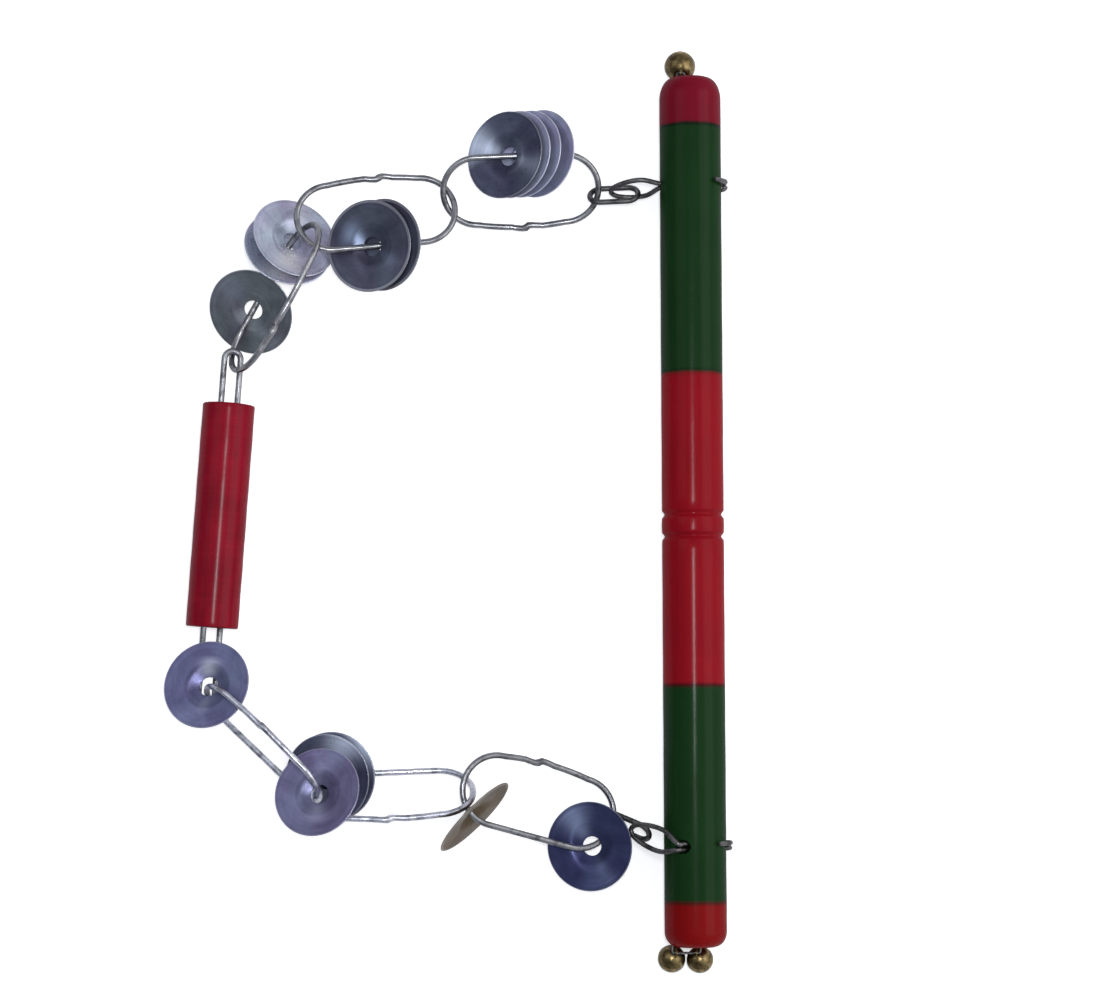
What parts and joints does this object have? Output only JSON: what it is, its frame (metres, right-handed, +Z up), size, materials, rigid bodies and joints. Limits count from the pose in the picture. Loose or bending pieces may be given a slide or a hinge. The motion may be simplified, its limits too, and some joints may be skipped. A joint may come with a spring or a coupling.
{
  "type": "lezim",
  "caption": "Lezim: a turned painted wooden rod with an oval-link wire chain from end to end, dished clashing discs threaded on the links, a turning grip tube and small bells",
  "frame": {"origin": "the middle of the rod's underside, on the ground", "axes": "+Y runs along the rod towards the end with one bell, +Z is up, and -X is the side on which the chain lies"},
  "size_m": [0.2463, 0.4058, 0.0407],
  "materials": {
    "painted_wood": "gloss paint in green and red bands on turned wood",
    "grip_red": "dark red tube, satin, a little mottled",
    "chain_wire": "drawn steel wire, dulled",
    "disc_sheet": "pressed steel sheet, dark with a bluish sheen",
    "brassy_sheet": "pressed sheet, brownish tarnish",
    "bell_brass": "thin brass, tarnished",
    "pellet_steel": "plain steel pellet"
  },
  "bodies": {
    "root": {"rod": "painted_wood", "staple_top": "chain_wire", "staple_bottom": "chain_wire", "bell_pin_top": "chain_wire", "bell_pin_bottom": "chain_wire"},
    "shackle_top": {"shackle_top": "chain_wire"},
    "shackle_bottom": {"shackle_bottom": "chain_wire"},
    "top_link_1": {"top_link_1": "chain_wire"},
    "top_link_2": {"top_link_2": "chain_wire"},
    "top_link_3": {"top_link_3": "chain_wire"},
    "bottom_link_1": {"bottom_link_1": "chain_wire"},
    "bottom_link_2": {"bottom_link_2": "chain_wire"},
    "bottom_link_3": {"bottom_link_3": "chain_wire"},
    "grip_wire": {"grip_wire": "chain_wire"},
    "grip": {"grip": "grip_red"},
    "disc_top_1a": {"disc_top_1a": "disc_sheet"},
    "disc_top_1b": {"disc_top_1b": "disc_sheet"},
    "disc_top_1c": {"disc_top_1c": "disc_sheet"},
    "disc_top_1d": {"disc_top_1d": "disc_sheet"},
    "disc_top_2a": {"disc_top_2a": "disc_sheet"},
    "disc_top_2b": {"disc_top_2b": "disc_sheet"},
    "disc_top_3a": {"disc_top_3a": "disc_sheet"},
    "disc_top_3b": {"disc_top_3b": "disc_sheet"},
    "disc_top_3c": {"disc_top_3c": "disc_sheet"},
    "disc_bottom_3a": {"disc_bottom_3a": "disc_sheet"},
    "disc_bottom_3b": {"disc_bottom_3b": "disc_sheet"},
    "disc_bottom_2a": {"disc_bottom_2a": "disc_sheet"},
    "disc_bottom_2b": {"disc_bottom_2b": "disc_sheet"},
    "disc_bottom_1a": {"disc_bottom_1a": "brassy_sheet"},
    "disc_bottom_1b": {"disc_bottom_1b": "disc_sheet"},
    "bell_top": {"bell_top": "bell_brass"},
    "bell_bottom_left": {"bell_bottom_left": "bell_brass"},
    "bell_bottom_right": {"bell_bottom_right": "bell_brass"},
    "pellet_top": {"pellet_top": "pellet_steel"},
    "pellet_bottom_left": {"pellet_bottom_left": "pellet_steel"},
    "pellet_bottom_right": {"pellet_bottom_right": "pellet_steel"}
  },
  "joints": [
    {"name": "chain_lift", "type": "hinge", "parent": "root", "child": "shackle_top", "pos_m": [-0.029, 0, 0.036], "axis": [0, 1, 0], "range_deg": [0, 6]},
    {"name": "shackle_bottom_lift", "type": "hinge", "parent": "root", "child": "shackle_bottom", "pos_m": [-0.029, 0, 0.036], "axis": [0, 1, 0], "range_deg": [0, 6]},
    {"name": "top_link_1_hook", "type": "hinge", "parent": "shackle_top", "child": "top_link_1", "pos_m": [-0.04268, 0.13938, 0.00768], "axis": [0, 0, 1], "range_deg": [-6.5, 6.5]},
    {"name": "top_link_2_hook", "type": "hinge", "parent": "top_link_1", "child": "top_link_2", "pos_m": [-0.10697, 0.13707, 0.00766], "axis": [0, 0, 1], "range_deg": [-8.4, 8.4]},
    {"name": "top_link_3_hook", "type": "hinge", "parent": "top_link_2", "child": "top_link_3", "pos_m": [-0.16943, 0.12149, 0.0178], "axis": [0, 0, 1], "range_deg": [-4.13, 4.13]},
    {"name": "grip_wire_hook", "type": "hinge", "parent": "top_link_3", "child": "grip_wire", "pos_m": [-0.20111, 0.06683, 0.01226], "axis": [0, 0, 1], "range_deg": [-3.96, 3.96]},
    {"name": "bottom_link_1_hook", "type": "hinge", "parent": "shackle_bottom", "child": "bottom_link_1", "pos_m": [-0.03728, -0.13464, 0.00513], "axis": [0, 0, 1], "range_deg": [-6.58, 6.58]},
    {"name": "bottom_link_2_hook", "type": "hinge", "parent": "bottom_link_1", "child": "bottom_link_2", "pos_m": [-0.09877, -0.12484, 0.02021], "axis": [0, 0, 1], "range_deg": [-8.77, 8.77]},
    {"name": "bottom_link_3_hook", "type": "hinge", "parent": "bottom_link_2", "child": "bottom_link_3", "pos_m": [-0.16428, -0.12435, 0.0216], "axis": [0, 0, 1], "range_deg": [-4.22, 4.22]},
    {"name": "disc_top_1a_slide", "type": "slide", "parent": "top_link_1", "child": "disc_top_1a", "axis": [-0.9994, -0.0349, 0], "range_m": [-0.004, 0.008]},
    {"name": "disc_top_1b_slide", "type": "slide", "parent": "top_link_1", "child": "disc_top_1b", "axis": [-0.9994, -0.0349, 0], "range_m": [-0.00301, 0.00601]},
    {"name": "disc_top_1c_slide", "type": "slide", "parent": "top_link_1", "child": "disc_top_1c", "axis": [-0.9994, -0.0349, 0], "range_m": [-0.00181, 0.00361]},
    {"name": "disc_top_1d_slide", "type": "slide", "parent": "top_link_1", "child": "disc_top_1d", "axis": [-0.9994, -0.0349, 0], "range_m": [-0.00061, 0.00121]},
    {"name": "disc_top_2a_spin", "type": "hinge", "parent": "top_link_2", "child": "disc_top_2a", "pos_m": [-0.1412, 0.11527, 0.01894], "axis": [-0.379, -0.0634, 0.9232], "continuous": true},
    {"name": "disc_top_2b_spin", "type": "hinge", "parent": "top_link_2", "child": "disc_top_2b", "pos_m": [-0.13546, 0.11592, 0.01787], "axis": [-0.5186, -0.0637, 0.8526], "continuous": true},
    {"name": "disc_top_3a_spin", "type": "hinge", "parent": "top_link_3", "child": "disc_top_3a", "pos_m": [-0.17769, 0.11555, 0.01223], "axis": [0.3234, 0.4291, 0.8434], "continuous": true},
    {"name": "disc_top_3b_spin", "type": "hinge", "parent": "top_link_3", "child": "disc_top_3b", "pos_m": [-0.17441, 0.11984, 0.01304], "axis": [0.439, 0.3736, 0.8171], "continuous": true},
    {"name": "disc_top_3c_spin", "type": "hinge", "parent": "top_link_3", "child": "disc_top_3c", "pos_m": [-0.19395, 0.08748, 0.01028], "axis": [-0.2687, -0.4217, 0.866], "continuous": true},
    {"name": "disc_bottom_3a_spin", "type": "hinge", "parent": "bottom_link_3", "child": "disc_bottom_3a", "pos_m": [-0.21084, -0.07625, 0.02472], "axis": [-0.2351, 0.2705, 0.9336], "continuous": true},
    {"name": "disc_bottom_3b_spin", "type": "hinge", "parent": "bottom_link_3", "child": "disc_bottom_3b", "pos_m": [-0.1625, -0.12229, 0.03166], "axis": [-0.3017, 0.3071, 0.9026], "continuous": true},
    {"name": "disc_bottom_2a_spin", "type": "hinge", "parent": "bottom_link_2", "child": "disc_bottom_2a", "pos_m": [-0.15986, -0.11722, 0.00903], "axis": [0.2739, 0.1024, -0.9563], "continuous": true},
    {"name": "disc_bottom_2b_spin", "type": "hinge", "parent": "bottom_link_2", "child": "disc_bottom_2b", "pos_m": [-0.15761, -0.11629, 0.00759], "axis": [0.2447, 0.0843, -0.9659], "continuous": true},
    {"name": "disc_bottom_1a_spin", "type": "hinge", "parent": "bottom_link_1", "child": "disc_bottom_1a", "pos_m": [-0.09528, -0.13362, 0.0209], "axis": [0.6977, -0.6856, 0.2079], "continuous": true},
    {"name": "disc_bottom_1b_spin", "type": "hinge", "parent": "bottom_link_1", "child": "disc_bottom_1b", "pos_m": [-0.04569, -0.14698, 0.01066], "axis": [-0.3335, -0.0146, 0.9426], "continuous": true},
    {"name": "grip_spin", "type": "hinge", "parent": "grip_wire", "child": "grip", "pos_m": [-0.2069, -0.00732, 0.0124], "axis": [-0.072, -0.9974, 0], "continuous": true},
    {"name": "bell_top_swing", "type": "hinge", "parent": "root", "child": "bell_top", "pos_m": [-0.004, 0.1928, 0.01385], "axis": [1, 0, 0], "range_deg": [0, 100]},
    {"name": "pellet_top_slide", "type": "slide", "parent": "bell_top", "child": "pellet_top", "axis": [0, 0, 1], "range_m": [0, 0.004]},
    {"name": "bell_bottom_left_swing", "type": "hinge", "parent": "root", "child": "bell_bottom_left", "pos_m": [-0.0085, -0.1928, 0.01263], "axis": [-1, 0, 0], "range_deg": [0, 100]},
    {"name": "pellet_bottom_left_slide", "type": "slide", "parent": "bell_bottom_left", "child": "pellet_bottom_left", "axis": [0, 0, 1], "range_m": [0, 0.004]},
    {"name": "bell_bottom_right_swing", "type": "hinge", "parent": "root", "child": "bell_bottom_right", "pos_m": [0.0004, -0.1928, 0.01192], "axis": [-1, 0, 0], "range_deg": [0, 100]},
    {"name": "pellet_bottom_right_slide", "type": "slide", "parent": "bell_bottom_right", "child": "pellet_bottom_right", "axis": [0, 0, 1], "range_m": [0, 0.004]}
  ],
  "couplings": [
    {"joint": "shackle_bottom_lift", "follows": "chain_lift", "ratio": 1},
    {"joint": "top_link_2_hook", "follows": "top_link_1_hook", "ratio": -1.2916},
    {"joint": "top_link_3_hook", "follows": "top_link_1_hook", "ratio": 0.6343},
    {"joint": "grip_wire_hook", "follows": "top_link_1_hook", "ratio": -0.6083},
    {"joint": "bottom_link_1_hook", "follows": "top_link_1_hook", "ratio": 1.0109},
    {"joint": "bottom_link_2_hook", "follows": "top_link_1_hook", "ratio": -1.3472},
    {"joint": "bottom_link_3_hook", "follows": "top_link_1_hook", "ratio": 0.6473},
    {"joint": "disc_top_1b_slide", "follows": "disc_top_1a_slide", "ratio": 0.75},
    {"joint": "disc_top_1c_slide", "follows": "disc_top_1a_slide", "ratio": 0.45},
    {"joint": "disc_top_1d_slide", "follows": "disc_top_1a_slide", "ratio": 0.15}
  ]
}
